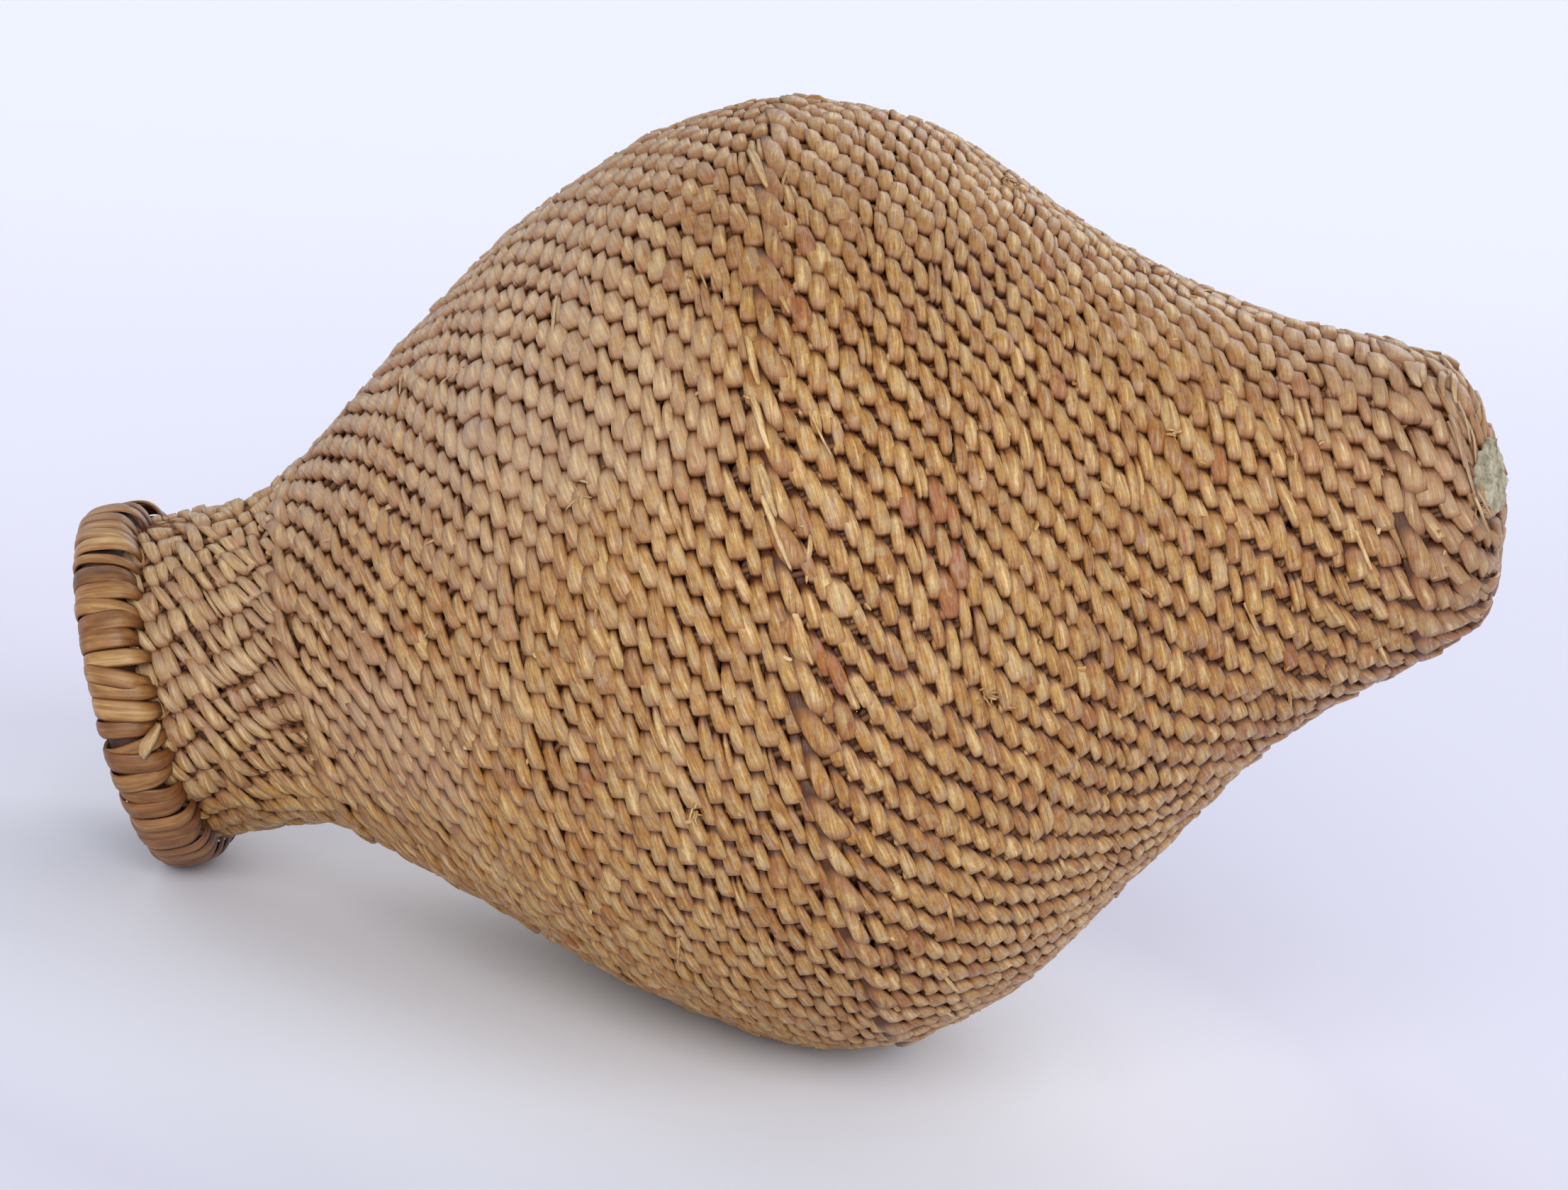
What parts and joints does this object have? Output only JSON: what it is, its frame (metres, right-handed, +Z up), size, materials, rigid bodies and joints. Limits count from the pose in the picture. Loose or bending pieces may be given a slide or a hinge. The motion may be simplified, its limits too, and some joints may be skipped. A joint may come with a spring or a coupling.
{
  "type": "seed basket",
  "caption": "Twined seed basket with a round pointed belly, narrow neck and bound hoop rim, lying on its side; stores seeds and pours them from the mouth",
  "frame": {"origin": "on the floor under the middle of the bounding box, the basket lying as it rests", "axes": "+Z up; +X level, from the mouth towards the base, along the basket's length; the plane y = 0 holds the basket's axis"},
  "size_m": [0.3149, 0.2148, 0.2069],
  "materials": {
    "willow_weft": "split willow weft, tan to ochre, satin with dull weathered patches",
    "course_weft": "three-strand courses of the same willow, a little darker in the grooves",
    "warp_rod": "peeled willow rod, matt",
    "hoop_withe": "dark brown bent withe",
    "binding_splint": "smooth split splint, golden brown, half gloss",
    "start_weft": "coarse worn weft round the starting point",
    "mend_fibre": "matted grey-green fibre"
  },
  "bodies": {
    "root": {"collar_wall": "willow_weft", "neck_wall": "willow_weft", "throat_wall": "willow_weft", "upper_wall": "willow_weft", "lower_wall": "willow_weft", "foot_wall": "willow_weft", "neck_course": "course_weft", "throat_course": "course_weft", "shoulder_course": "course_weft", "belly_course": "course_weft", "foot_course": "course_weft", "base_start": "start_weft", "base_patch": "mend_fibre", "rim_hoop": "hoop_withe", "rim_binding": "binding_splint", "warp_01": "warp_rod", "warp_02": "warp_rod", "warp_03": "warp_rod", "warp_04": "warp_rod", "warp_05": "warp_rod", "warp_06": "warp_rod", "warp_07": "warp_rod", "warp_08": "warp_rod", "warp_09": "warp_rod", "warp_10": "warp_rod", "warp_11": "warp_rod", "warp_12": "warp_rod", "warp_13": "warp_rod", "warp_14": "warp_rod", "warp_15": "warp_rod", "warp_16": "warp_rod", "warp_17": "warp_rod", "warp_18": "warp_rod", "warp_19": "warp_rod", "warp_20": "warp_rod", "warp_21": "warp_rod", "warp_22": "warp_rod", "warp_23": "warp_rod", "warp_24": "warp_rod"}
  },
  "joints": []
}
